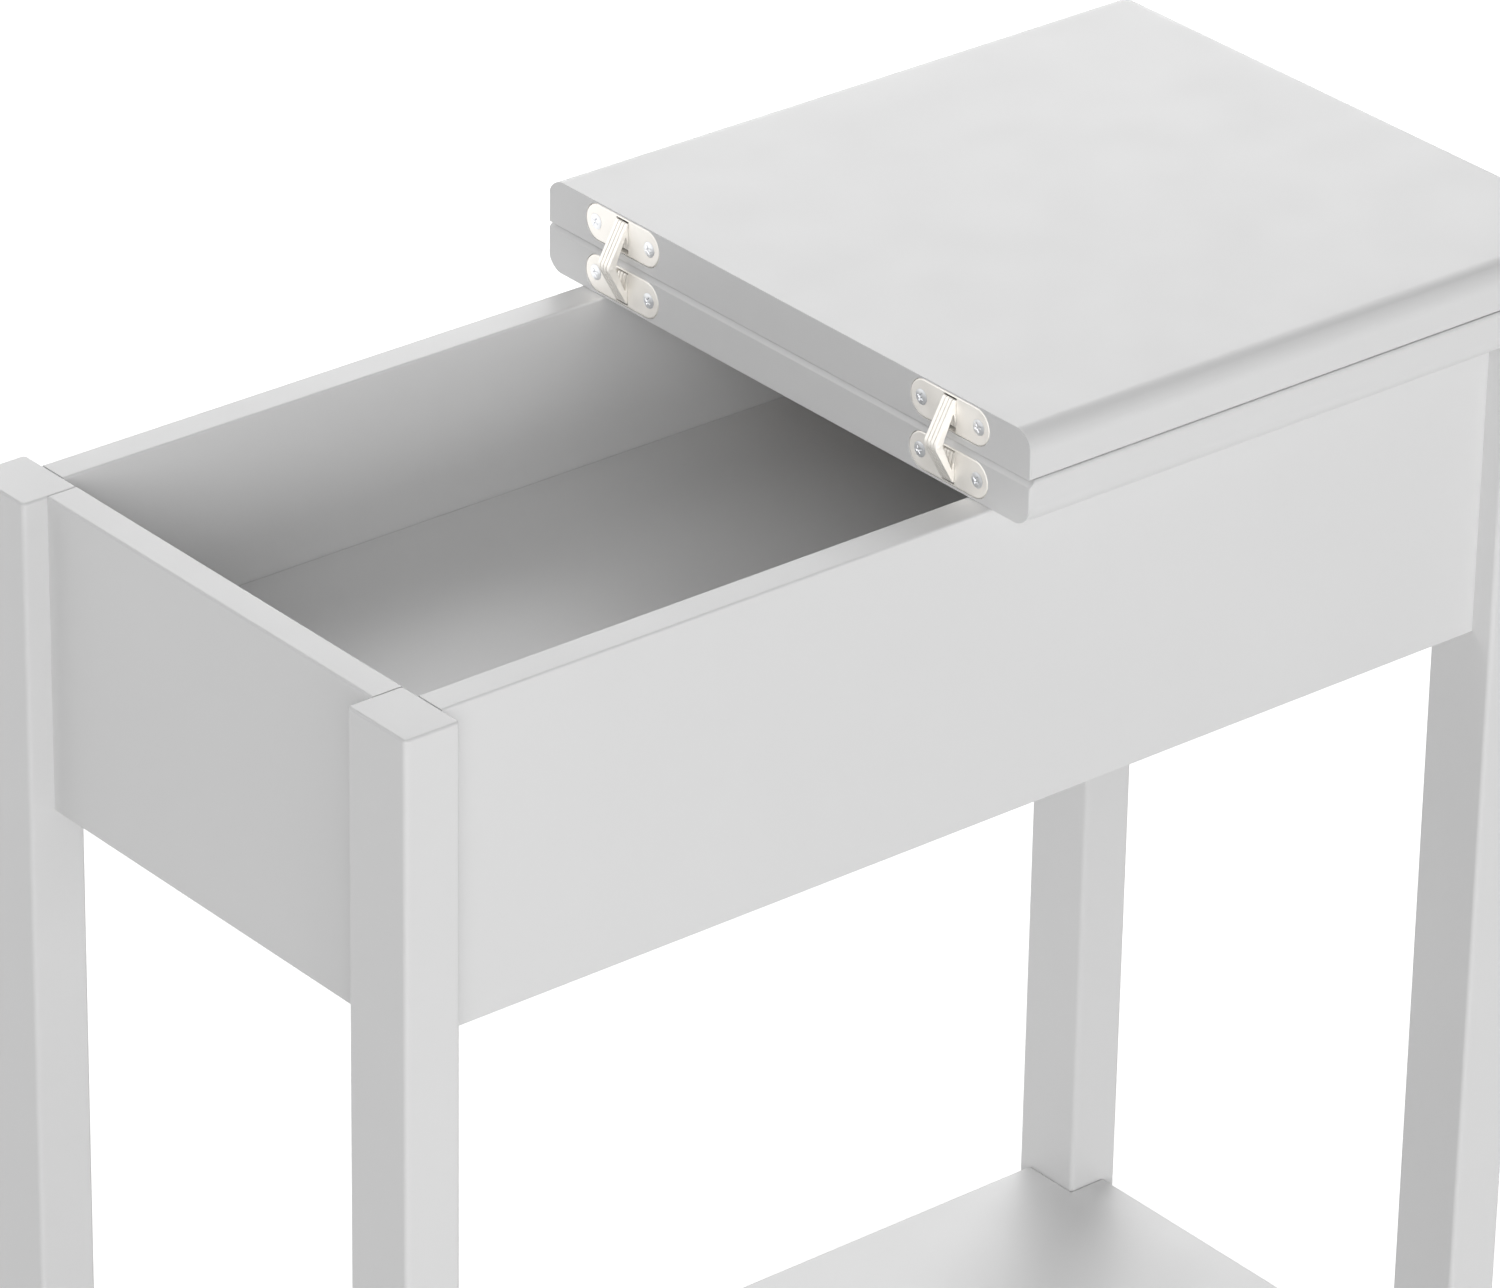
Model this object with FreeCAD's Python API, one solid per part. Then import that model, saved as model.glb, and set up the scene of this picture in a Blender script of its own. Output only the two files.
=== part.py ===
import FreeCAD, Part
import math
import os

from FreeCAD import Vector

# Narrow painted end table with a two-leaf top. The right leaf is fixed over half of an open box.
# The left leaf turns over on two concealed hinges and lies face down on the right one, as shown here.
# X runs along the table, Y across it from front to back, Z up. The floor is at Z = 0.

# Whole table
legs_length = 560.0       # over the legs' end faces
legs_width = 266.0        # over the legs' front and back faces
table_height = 610.5      # floor to the fixed leaf's upper face
end_overhang = 21.0       # top past the legs' end faces
side_overhang = 10.0      # top past the legs' front and back faces

# Legs and their glides
leg_depth = 34.0          # leg across the table
leg_edge = 2.0            # rounding of the upright edges
leg_top_edge = 1.2        # rounding round the leg's top
glide_height = 3.0
glide_radius = 9.0
nail_radius = 1.5
nail_length = 12.0

# Box panels and floor
panel_thickness = 14.0
panel_inset = 11.0        # panels behind the legs' outer faces
panel_edge = 1.0          # rounding of the panels' upper edges
apron_height = 132.0
floor_thickness = 8.0
floor_lift = 54.0         # floor's underside above the panels' lower edges
groove_depth = 5.0
groove_fit = 0.2
tongue_step = 1.0         # floor's upper face above its tongues

# Dowels
dowel_radius = 4.0
dowel_half = 18.0         # length in each of the two pieces
side_dowel_inset = 30.0   # from the upper and lower edges of the front and back panels
end_dowel_inset = 45.0    # from the upper and lower edges of the end panels
shelf_dowel_radius = 3.0
shelf_dowel_half = 12.0
dowel_fit = 0.05          # round the dowel
dowel_end_fit = 0.5       # past each end of the dowel

# Lower shelf
shelf_thickness = 14.0
shelf_top = 96.0
shelf_inset = 7.0         # shelf's edges behind the legs' outer faces
shelf_edge = 1.5
notch_fit = 0.1

# Top leaves
leaf_thickness = 19.5
leaf_gap = 0.4            # between the folded leaves
hinge_gap = 1.6           # between the hinge edges when the top is closed
closing_fit = 0.3         # flip leaf is thinner by this, to close clear of the box
underside_round = 9.0     # rounding under the three outer edges
upper_round = 1.5         # rounding over the three outer edges
fixed_edge_chamfer = 2.6  # chamfer of the fixed leaf's hinge edge at its upper face
flip_edge_chamfer = 0.4   # the same on the flip leaf
hinge_edge_break = 0.4    # rounding of both hinge edges at the underside
corner_round = 3.0        # leaf corners seen from above

# Cleats and screws that hold the fixed leaf
cleat_size = 18.0
cleat_inset = 60.0        # cleat's ends from the hinge edge and the leg
leaf_screw_radius = 2.0
leaf_screw_head_radius = 4.0
leaf_screw_head = 2.4
leaf_screw_bite = 12.0    # length in the leaf
leaf_screw_inset = 30.0   # from the cleat's ends
screw_fit = 0.05

# Hinges
hinge_inset = 46.0        # hinge's middle from the leaf's front or back edge
plate_length = 45.0
plate_height = 15.5
plate_thickness = 1.6
plate_margin = 2.9        # plate's edge from the leaf's upper face
plate_rim = 0.8           # metal round the pocket
plate_fit = 0.15          # leaf's recess round the plate
cheek = 2.0               # pocket's side walls
pocket_depth = 20.4
pocket_back = 1.5
plate_screw_radius = 1.5
plate_screw_head_radius = 3.2
plate_screw_head = 1.5    # depth of the sunk head
plate_screw_dome = 0.6    # how far the head stands out
plate_screw_length = 20.0
plate_screw_inset = 6.2   # screw from the plate's end

# Hinge strips: each strip is a V that stands out of the two plates
strip_count = 4
strip_thickness = 1.6
strip_gap = 0.2
strip_side_fit = 0.2      # stack to pocket wall
elbow_reach = 9.4         # V's point in front of the leaf edges
elbow_width = 3.4         # from the V's point to its inner bend
elbow_flat = 1.0          # half height of the V's blunt point
strip_end_inset = 0.8     # strip's far end from the pocket's far wall
strip_end_depth = 0.8     # strip's far end behind the leaf edge
strip_end_width = 1.4
arm_foot = 1.0            # arm's inner edge ends this far in front of the leaf edge
arm_foot_back = 5.3       # arm's inner edge ends this far from the strip's far end
strip_corner = 0.5
pivot_depth = 1.9         # pivot behind the leaf edge
pivot_inset = 2.5         # pivot from the pocket's near wall
pivot_radius = 0.7
pivot_eye = 1.3           # metal round the pivot
pivot_fit = 0.05
guide_fit = 0.1
guide_pin_fit = 0.2       # guide pin's ends short of the plate's sides
rivet_radius = 0.8
rivet_back = 1.7          # rivet from the V's point
link_turn = 87.4          # strips' turn while the leaf turns half way round
slot_steps = 12

# Levels and places that follow from the sizes above
apron_top = table_height - leaf_thickness
apron_bottom = apron_top - apron_height
floor_bottom = apron_bottom + floor_lift
leg_width = panel_inset + panel_thickness
middle = -end_overhang / 2
leg_outer = legs_length / 2
leg_inner = leg_outer - leg_width
side_outer = legs_width / 2
side_inner = side_outer - leg_depth
panel_outer = side_outer - panel_inset
panel_inner = panel_outer - panel_thickness
leaf_half = side_outer + side_overhang
hinge_face = hinge_gap / 2
leaf_length = leg_outer + end_overhang - hinge_face
hinge_axis = table_height + leaf_gap / 2
hinge_places = {"front": hinge_inset - leaf_half, "back": leaf_half - hinge_inset}

plate_near = leaf_gap / 2 + plate_margin
plate_far = plate_near + plate_height
plate_middle = (plate_near + plate_far) / 2
pocket_near = plate_near + plate_rim
pocket_far = plate_far - plate_rim
stack_width = strip_count * strip_thickness + (strip_count - 1) * strip_gap
pocket_half = stack_width / 2 + strip_side_fit
body_half = pocket_half + cheek
body_end = hinge_face + pocket_depth + pocket_back
pivot_x = hinge_face + pivot_depth
pivot_z = pocket_near + pivot_inset
screw_reach = plate_length / 2 - plate_screw_inset


def block(x0, x1, y0, y1, z0, z1):
    """Box between two corners."""
    return Part.makeBox(x1 - x0, y1 - y0, z1 - z0, Vector(x0, y0, z0))


def rod(start, direction, length, radius):
    """Round bar from a point along a direction."""
    return Part.makeCylinder(radius, length, Vector(*start), Vector(*direction))


def rounded_face(corners, place):
    """Flat face with rounded corners (u, v, radius). The call place(u, v) gives a corner's point."""
    edges = []
    ends = []
    count = len(corners)
    for i in range(count):
        u, v, radius = corners[i]
        before = corners[i - 1]
        after = corners[(i + 1) % count]
        to_before = math.atan2(before[1] - v, before[0] - u)
        to_after = math.atan2(after[1] - v, after[0] - u)
        half = abs((to_after - to_before + math.pi) % (2 * math.pi) - math.pi) / 2
        run = radius / math.tan(half)
        start = (u + run * math.cos(to_before), v + run * math.sin(to_before))
        stop = (u + run * math.cos(to_after), v + run * math.sin(to_after))
        inward_u = math.cos(to_before) + math.cos(to_after)
        inward_v = math.sin(to_before) + math.sin(to_after)
        size = math.hypot(inward_u, inward_v)
        reach = radius / math.sin(half) - radius
        bend = (u + reach * inward_u / size, v + reach * inward_v / size)
        ends.append((start, bend, stop, radius))
    for i in range(count):
        start, bend, stop, radius = ends[i]
        if radius > 0:
            edges.append(Part.Arc(place(*start), place(*bend), place(*stop)).toShape())
        following = ends[(i + 1) % count][0]
        if math.dist(stop, following) > 1e-6:
            edges.append(Part.LineSegment(place(*stop), place(*following)).toShape())
    return Part.Face(Part.Wire(edges))


def on_plan(u, v):
    return Vector(u, v, 0)


def on_side(u, v):
    return Vector(u, 0, v)


def on_end(u, v):
    return Vector(0, u, v)


def side_dowel_levels():
    """Heights of the dowels in the front and back panels."""
    return [apron_bottom + side_dowel_inset, apron_top - side_dowel_inset]


def end_dowel_levels():
    """Heights of the dowels in the end panels."""
    return [apron_bottom + end_dowel_inset, apron_top - end_dowel_inset]


def panel_dowels(grow, longer):
    """Dowels between panels and legs, or their bores when grown and lengthened."""
    bars = []
    half = dowel_half + longer
    for along in (-1, 1):
        for across in (-1, 1):
            for level in side_dowel_levels():
                start = (middle + along * leg_inner - half, across * (panel_inner + panel_outer) / 2, level)
                bars.append(rod(start, (1, 0, 0), 2 * half, dowel_radius + grow))
            for level in end_dowel_levels():
                end_middle = leg_inner + panel_thickness / 2
                start = (middle + along * end_middle, across * side_inner - half, level)
                bars.append(rod(start, (0, 1, 0), 2 * half, dowel_radius + grow))
    return bars


def shelf_dowels(grow, longer):
    """Dowels between the shelf and the legs, or their bores."""
    bars = []
    half = shelf_dowel_half + longer
    for along in (-1, 1):
        for across in (-1, 1):
            place = ((side_inner + side_outer) / 2 - shelf_inset / 2) * across
            start = (middle + along * leg_inner - half, place, shelf_top - shelf_thickness / 2)
            bars.append(rod(start, (1, 0, 0), 2 * half, shelf_dowel_radius + grow))
    return bars


def glide(along, across, grow):
    """Foot glide with its nail. Grown, it is the nail's bore."""
    x = middle + along * (leg_inner + leg_outer) / 2
    y = across * (side_inner + side_outer) / 2
    nail = rod((x, y, glide_height), (0, 0, 1), nail_length + grow, nail_radius + grow)
    if grow > 0:
        return nail
    return rod((x, y, 0), (0, 0, 1), glide_height, glide_radius).fuse(nail).removeSplitter()


def leg(along, across):
    """Leg with rounded upright edges, rounded top and bores for its dowels and nail."""
    x0, x1 = sorted((middle + along * leg_inner, middle + along * leg_outer))
    y0, y1 = sorted((across * side_inner, across * side_outer))
    outline = [(x0, y0, leg_edge), (x1, y0, leg_edge), (x1, y1, leg_edge), (x0, y1, leg_edge)]
    post = rounded_face(outline, on_plan).extrude(Vector(0, 0, apron_top - glide_height))
    post.translate(Vector(0, 0, glide_height))
    top = max(post.Faces, key=lambda face: face.CenterOfMass.z)
    post = post.makeFillet(leg_top_edge, top.Edges)
    bores = panel_dowels(dowel_fit, dowel_end_fit) + shelf_dowels(dowel_fit, dowel_end_fit)
    return post.cut(bores + [glide(along, across, dowel_fit)])


def floor_tongues(grow):
    """Thinner layer of the box floor, which reaches into the panels. Grown, it is the panels' grooves."""
    reach_x = leg_inner + groove_depth - groove_fit + grow
    reach_y = panel_inner + groove_depth - groove_fit + grow
    low = floor_bottom
    high = floor_bottom + floor_thickness - tongue_step + grow
    along = block(middle - leg_inner, middle + leg_inner, -reach_y, reach_y, low, high)
    clear = side_inner - groove_fit + grow
    across = block(middle - reach_x, middle + reach_x, -clear, clear, low, high)
    return along.fuse(across).removeSplitter()


def box_floor():
    """Floor of the box, rebated to tongues on all four sides."""
    side_x = leg_inner - groove_fit
    side_y = panel_inner - groove_fit
    high = floor_bottom + floor_thickness
    board = block(middle - side_x, middle + side_x, -side_y, side_y, floor_bottom, high)
    return board.fuse(floor_tongues(0)).removeSplitter()


def finished_panel(panel):
    """Panel with eased upper edges, grooved for the floor and bored for its dowels."""
    top = max(panel.Faces, key=lambda face: face.CenterOfMass.z)
    longest = max(edge.Length for edge in top.Edges)
    eased = panel.makeFillet(panel_edge, [edge for edge in top.Edges if edge.Length > longest / 2])
    return eased.cut([floor_tongues(groove_fit)] + panel_dowels(dowel_fit, dowel_end_fit))


def side_panel(across):
    """Front or back panel of the box, between two legs."""
    y0, y1 = sorted((across * panel_inner, across * panel_outer))
    return finished_panel(block(middle - leg_inner, middle + leg_inner, y0, y1, apron_bottom, apron_top))


def end_panel(along):
    """End panel of the box, flush inside with the legs."""
    end = leg_inner + panel_thickness
    x0, x1 = sorted((middle + along * leg_inner, middle + along * end))
    return finished_panel(block(x0, x1, -side_inner, side_inner, apron_bottom, apron_top))


def lower_shelf():
    """Shelf notched round the four legs."""
    end = leg_outer - shelf_inset
    side = side_outer - shelf_inset
    notch_x = leg_inner - notch_fit
    notch_y = side_inner - notch_fit
    outline = []
    for along, across, turned in ((-1, -1, False), (1, -1, True), (1, 1, False), (-1, 1, True)):
        corner = [(end, notch_y, shelf_edge), (notch_x, notch_y, 0), (notch_x, side, shelf_edge)]
        if turned:
            corner.reverse()
        outline += [(middle + along * u, across * v, radius) for u, v, radius in corner]
    board = rounded_face(outline, on_plan).extrude(Vector(0, 0, shelf_thickness))
    board.translate(Vector(0, 0, shelf_top - shelf_thickness))
    return board.cut(shelf_dowels(dowel_fit, dowel_end_fit))


def plain_leaf(thickness, chamfer):
    """Leaf with its underside at Z = 0 and its hinge edge at X = 0."""
    half = leaf_half
    across = [(-half, 0, underside_round), (half, 0, underside_round),
              (half, thickness, upper_round), (-half, thickness, upper_round)]
    along = [(0, 0, hinge_edge_break), (leaf_length, 0, underside_round),
             (leaf_length, thickness, upper_round), (chamfer, thickness, 0), (0, thickness - chamfer, 0)]
    plan = [(0, -half, 0), (leaf_length, -half, corner_round),
            (leaf_length, half, corner_round), (0, half, 0)]
    bar = rounded_face(across, on_end).extrude(Vector(leaf_length, 0, 0))
    slab = rounded_face(along, on_side).extrude(Vector(0, 2 * half, 0))
    slab.translate(Vector(0, -half, 0))
    sheet = rounded_face(plan, on_plan).extrude(Vector(0, 0, thickness))
    return bar.common(slab).common(sheet)


def at_hinge(shape, side, flipped):
    """Moves a piece drawn round the hinge axis to its place, turned over for the flip leaf."""
    moved = shape.copy()
    if flipped:
        moved.rotate(Vector(0, 0, 0), Vector(1, 0, 0), 180)
    moved.translate(Vector(middle, hinge_places[side], hinge_axis))
    return moved


def plate_outline(grow):
    """Round-ended plate outline, drawn below the hinge axis."""
    half = plate_length / 2 + grow
    low = -plate_far - grow
    high = -plate_near + grow
    radius = (high - low) / 2
    corners = [(-half, low, radius), (half, low, radius), (half, high, radius), (-half, high, radius)]
    return rounded_face(corners, on_end)


def plate_body(grow):
    """Round-ended plate with the pocket's block behind it, or the leaf's recess when grown."""
    flange = plate_outline(grow).extrude(Vector(plate_thickness, 0, 0))
    flange.translate(Vector(hinge_face, 0, 0))
    side = body_half + grow
    body = block(hinge_face, body_end + grow, -side, side, -plate_far - grow, -plate_near + grow)
    return flange.fuse(body)


def plate_screw(place, grow):
    """Sunk, domed screw in the plate's end. Grown, it is the screw's hole."""
    start = (hinge_face, place, -plate_middle)
    inward = (1, 0, 0)
    radius = plate_screw_radius + grow
    shank = rod(start, inward, plate_screw_length + grow, radius)
    seat = Part.makeCone(plate_screw_head_radius, radius, plate_screw_head, Vector(*start), Vector(*inward))
    if grow > 0:
        return shank.fuse(seat)
    ball = (plate_screw_head_radius ** 2 + plate_screw_dome ** 2) / (2 * plate_screw_dome)
    sphere = Part.makeSphere(ball, Vector(hinge_face + ball - plate_screw_dome, place, -plate_middle))
    tip = (hinge_face - plate_screw_dome, place, -plate_middle)
    dome = sphere.common(rod(tip, (1, 0, 0), plate_screw_dome, plate_screw_head_radius))
    return shank.fuse([seat, dome]).removeSplitter()


def turned(point, degrees):
    """Point turned about the hinge axis, from the table's length towards upright."""
    angle = math.radians(degrees)
    x, z = point
    return (x * math.cos(angle) - z * math.sin(angle), x * math.sin(angle) + z * math.cos(angle))


def guide_path():
    """Way of the strips' guide pin in the flip leaf as the leaf turns over."""
    path = []
    for step in range(slot_steps + 1):
        share = step / slot_steps
        swing = turned((0, 2 * pivot_z), link_turn * share)
        path.append(turned((pivot_x + swing[0], swing[1] - pivot_z), -180 * share))
    return path


def guide_slot():
    """Curved slot through the flip plate's cheeks, as short round-ended runs drawn below the hinge axis."""
    radius = pivot_radius + guide_fit
    runs = []
    path = [(x, -z) for x, z in guide_path()]
    for start, stop in zip(path, path[1:]):
        end = math.dist(start, stop) + radius
        corners = [(-radius, -radius), (end, -radius), (end, radius), (-radius, radius)]
        outline = [(u, v, radius) for u, v in corners]
        run = rounded_face(outline, on_side).extrude(Vector(0, 2 * body_half, 0))
        slope = math.degrees(math.atan2(stop[1] - start[1], stop[0] - start[0]))
        run.rotate(Vector(0, 0, 0), Vector(0, 1, 0), -slope)
        run.translate(Vector(start[0], -body_half, start[1]))
        runs.append(run)
    return runs


def hinge_plate(flipped):
    """Plate with its pocket and screw holes, bored for the pivot or slotted for the guide pin."""
    pocket = block(0, hinge_face + pocket_depth, -pocket_half, pocket_half, -pocket_far, -pocket_near)
    holes = [plate_screw(place, screw_fit) for place in (-screw_reach, screw_reach)]
    plate = plate_body(0).cut([pocket] + holes)
    if not flipped:
        return plate.cut(rod((pivot_x, -body_half, -pivot_z), (0, 1, 0), 2 * body_half, pivot_radius))
    for run in guide_slot():
        plate = plate.cut(run)
    return plate.removeSplitter()


def strip_outline():
    """V-shaped strip outline, the same above and below the hinge axis."""
    point = hinge_face - elbow_reach
    end = pocket_far - strip_end_inset
    far = hinge_face + strip_end_depth
    lower = [
        (point + elbow_width, 0, 0),
        (hinge_face - arm_foot, -(end - arm_foot_back), strip_corner),
        (pivot_x - pivot_eye, -(pivot_z - pivot_eye), strip_corner),
        (pivot_x + pivot_eye, -(pivot_z - pivot_eye), pivot_eye),
        (far, -end, strip_corner),
        (far - strip_end_width, -end, strip_corner),
        (point, -elbow_flat, elbow_flat / 2),
    ]
    upper = [(u, -v, radius) for u, v, radius in reversed(lower[1:])]
    return rounded_face(lower + upper, on_side)


def hinge_strips():
    """Stack of strips, bored for the pivot, the guide pin and the rivet."""
    rivet_x = hinge_face - elbow_reach + rivet_back
    bores = [
        rod((pivot_x, -body_half, -pivot_z), (0, 1, 0), 2 * body_half, pivot_radius + pivot_fit),
        rod((pivot_x, -body_half, pivot_z), (0, 1, 0), 2 * body_half, pivot_radius),
        rod((rivet_x, -body_half, 0), (0, 1, 0), 2 * body_half, rivet_radius),
    ]
    strip = strip_outline().extrude(Vector(0, strip_thickness, 0)).cut(bores)
    stack = []
    for i in range(strip_count):
        layer = strip.copy()
        layer.translate(Vector(0, i * (strip_thickness + strip_gap) - stack_width / 2, 0))
        stack.append(layer)
    return Part.makeCompound(stack)


def hinge_rivet():
    """Rivet that holds the strips together at the V's point."""
    rivet_x = hinge_face - elbow_reach + rivet_back
    return rod((rivet_x, -stack_width / 2, 0), (0, 1, 0), stack_width, rivet_radius)


def pivot_pin():
    """Pin in the fixed plate's cheeks that the strips turn on."""
    return rod((pivot_x, -body_half, -pivot_z), (0, 1, 0), 2 * body_half, pivot_radius)


def guide_pin():
    """Pin in the strips that slides in the flip plate's slot."""
    half = body_half - guide_pin_fit
    return rod((pivot_x, -half, pivot_z), (0, 1, 0), 2 * half, pivot_radius)


def plate_recesses(flipped):
    """Recesses for both hinges and their screws in one leaf."""
    recesses = []
    for side in hinge_places:
        recesses.append(at_hinge(plate_body(plate_fit), side, flipped))
        for place in (-screw_reach, screw_reach):
            recesses.append(at_hinge(plate_screw(place, screw_fit), side, flipped))
    return recesses


def plate_screws(flipped):
    """The four hinge screws of one leaf."""
    places = (-screw_reach, screw_reach)
    return [at_hinge(plate_screw(place, 0), side, flipped) for side in hinge_places for place in places]


def cleat_span():
    """Ends of the cleats along the table."""
    return middle + hinge_face + cleat_inset, middle + leg_inner - cleat_inset


def leaf_screws(grow):
    """Screws up through the cleats into the fixed leaf, or their holes."""
    bars = []
    low = apron_top - cleat_size
    length = cleat_size + leaf_screw_bite + grow
    for x in (cleat_span()[0] + leaf_screw_inset, cleat_span()[1] - leaf_screw_inset):
        for across in (-1, 1):
            y = across * (panel_inner - cleat_size / 2)
            shank = rod((x, y, low), (0, 0, 1), length, leaf_screw_radius + grow)
            if grow > 0:
                bars.append(shank)
            else:
                seat = (x, y, low - leaf_screw_head)
                head = rod(seat, (0, 0, 1), leaf_screw_head, leaf_screw_head_radius)
                bars.append(shank.fuse(head).removeSplitter())
    return bars


def cleat(across):
    """Square cleat glued inside the front or back panel under the fixed leaf."""
    start, stop = cleat_span()
    y0, y1 = sorted((across * panel_inner, across * (panel_inner - cleat_size)))
    return block(start, stop, y0, y1, apron_top - cleat_size, apron_top).cut(leaf_screws(screw_fit))


def fixed_leaf():
    """Leaf screwed down over the right half of the box."""
    leaf = plain_leaf(leaf_thickness, fixed_edge_chamfer)
    leaf.translate(Vector(middle + hinge_face, 0, apron_top))
    return leaf.cut(plate_recesses(False) + leaf_screws(screw_fit))


def flip_leaf():
    """Leaf that turns over, lying face down on the fixed leaf."""
    thickness = leaf_thickness - closing_fit
    leaf = plain_leaf(thickness, flip_edge_chamfer)
    leaf.rotate(Vector(0, 0, 0), Vector(1, 0, 0), 180)
    leaf.translate(Vector(middle + hinge_face, 0, table_height + leaf_gap + thickness))
    return leaf.cut(plate_recesses(True))


nodes = {}
for end_name, along in (("left", -1), ("right", 1)):
    for side_name, across in (("front", -1), ("back", 1)):
        nodes[side_name + "_" + end_name + "_leg"] = leg(along, across)
    nodes[end_name + "_end_panel"] = end_panel(along)
for side_name, across in (("front", -1), ("back", 1)):
    nodes[side_name + "_panel"] = side_panel(across)
    nodes[side_name + "_cleat"] = cleat(across)
nodes["panel_dowels"] = Part.makeCompound(panel_dowels(0, 0))
nodes["box_floor"] = box_floor()
nodes["lower_shelf"] = lower_shelf()
nodes["shelf_dowels"] = Part.makeCompound(shelf_dowels(0, 0))
feet = [(-1, -1), (-1, 1), (1, -1), (1, 1)]
nodes["foot_glides"] = Part.makeCompound([glide(along, across, 0) for along, across in feet])
nodes["fixed_leaf"] = fixed_leaf()
nodes["flip_leaf"] = flip_leaf()
nodes["leaf_screws"] = Part.makeCompound(leaf_screws(0))
nodes["fixed_plate_screws"] = Part.makeCompound(plate_screws(False))
nodes["flip_plate_screws"] = Part.makeCompound(plate_screws(True))
fixed_plate = hinge_plate(False)
flip_plate = hinge_plate(True)
for side_name in hinge_places:
    hinge = side_name + "_hinge_"
    nodes[hinge + "fixed_plate"] = at_hinge(fixed_plate, side_name, False)
    nodes[hinge + "flip_plate"] = at_hinge(flip_plate, side_name, True)
    nodes[hinge + "strips"] = at_hinge(hinge_strips(), side_name, False)
    nodes[hinge + "rivet"] = at_hinge(hinge_rivet(), side_name, False)
    nodes[hinge + "pivot_pin"] = at_hinge(pivot_pin(), side_name, False)
    nodes[hinge + "guide_pin"] = at_hinge(guide_pin(), side_name, False)

os.makedirs("parts", exist_ok=True)
for name, shape in nodes.items():
    shape.exportStep("parts/" + name + ".step")
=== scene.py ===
import math

import bmesh
import bpy
from mathutils import Matrix, Quaternion, Vector


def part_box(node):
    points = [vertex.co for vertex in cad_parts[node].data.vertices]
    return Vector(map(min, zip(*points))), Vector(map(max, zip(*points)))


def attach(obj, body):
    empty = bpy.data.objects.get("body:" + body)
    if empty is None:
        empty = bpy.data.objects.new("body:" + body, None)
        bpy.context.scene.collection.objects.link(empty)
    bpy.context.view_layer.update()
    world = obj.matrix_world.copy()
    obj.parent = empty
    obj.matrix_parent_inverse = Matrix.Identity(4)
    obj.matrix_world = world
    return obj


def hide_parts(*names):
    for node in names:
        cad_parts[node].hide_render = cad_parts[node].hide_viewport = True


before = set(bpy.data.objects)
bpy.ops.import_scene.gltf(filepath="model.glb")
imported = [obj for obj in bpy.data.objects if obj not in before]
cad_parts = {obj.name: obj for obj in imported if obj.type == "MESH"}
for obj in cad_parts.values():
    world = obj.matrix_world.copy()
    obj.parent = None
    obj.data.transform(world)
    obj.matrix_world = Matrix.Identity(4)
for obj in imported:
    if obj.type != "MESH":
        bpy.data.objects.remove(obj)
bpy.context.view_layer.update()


# Legs: four rectangular posts sawn from fibreboard and sanded to soft edges.
# They are sprayed with white satin lacquer, and dowels tie them to the panels between them.
leg_nodes = ("front_left_leg", "front_right_leg", "back_left_leg", "back_right_leg")
leg_upright_easing = 0.002
leg_top_easing = 0.0012


def linear(code):
    """Colour of an sRGB hex value, in linear light."""
    shares = [int(code[i:i + 2], 16) / 255 for i in (1, 3, 5)]
    return [s / 12.92 if s <= 0.04045 else ((s + 0.055) / 1.055) ** 2.4 for s in shares] + [1]


def add_node(tree, kind, inputs, **settings):
    """Adds a node with its settings. An input is a value or the socket that feeds it."""
    node = tree.nodes.new(kind)
    for name, value in settings.items():
        setattr(node, name, value)
    for name, value in inputs.items():
        if isinstance(value, bpy.types.NodeSocket):
            tree.links.new(value, node.inputs[name])
        else:
            node.inputs[name].default_value = value
    return node


def new_material(name):
    """Empty material, with its tree, its surface output and its object coordinates."""
    material = bpy.data.materials.new(name)
    material.use_nodes = True
    tree = material.node_tree
    tree.nodes.clear()
    out = add_node(tree, "ShaderNodeOutputMaterial", {})
    place = add_node(tree, "ShaderNodeTexCoord", {}).outputs["Object"]
    return material, tree, out, place


def board_between(name, low, high):
    """Cube stretched between two corners, as a sawn board."""
    bpy.ops.object.select_all(action="DESELECT")
    bpy.ops.mesh.primitive_cube_add(size=1, location=(low + high) / 2, scale=high - low)
    board = bpy.context.object
    board.name = name
    bpy.ops.object.transform_apply(location=True, rotation=True, scale=True)
    return board


def pick(piece, kind, wanted):
    """Edit mode with only those vertices, edges or faces selected whose points all pass a test."""
    bpy.ops.object.mode_set(mode="EDIT")
    bpy.ops.mesh.select_mode(type=kind)
    bpy.ops.mesh.select_all(action="DESELECT")
    mesh = bmesh.from_edit_mesh(piece.data)
    for part in {"VERT": mesh.verts, "EDGE": mesh.edges, "FACE": mesh.faces}[kind]:
        points = [part.co] if kind == "VERT" else [v.co for v in part.verts]
        if wanted(points):
            part.select_set(True)
    mesh.select_flush_mode()
    bmesh.update_edit_mesh(piece.data)


def same(values, level):
    """True where all values are at one level."""
    tolerance = 0.000001
    return all(abs(value - level) < tolerance for value in values)


def runs_along(ends, axis):
    """True for a long edge along an axis."""
    shortest = 0.01
    return abs(ends[0][axis] - ends[1][axis]) > shortest


def ease(offset, steps):
    """Rounds the selected edges."""
    bpy.ops.mesh.bevel(offset=offset, segments=steps, profile=0.5, affect="EDGES", clamp_overlap=False)


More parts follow.
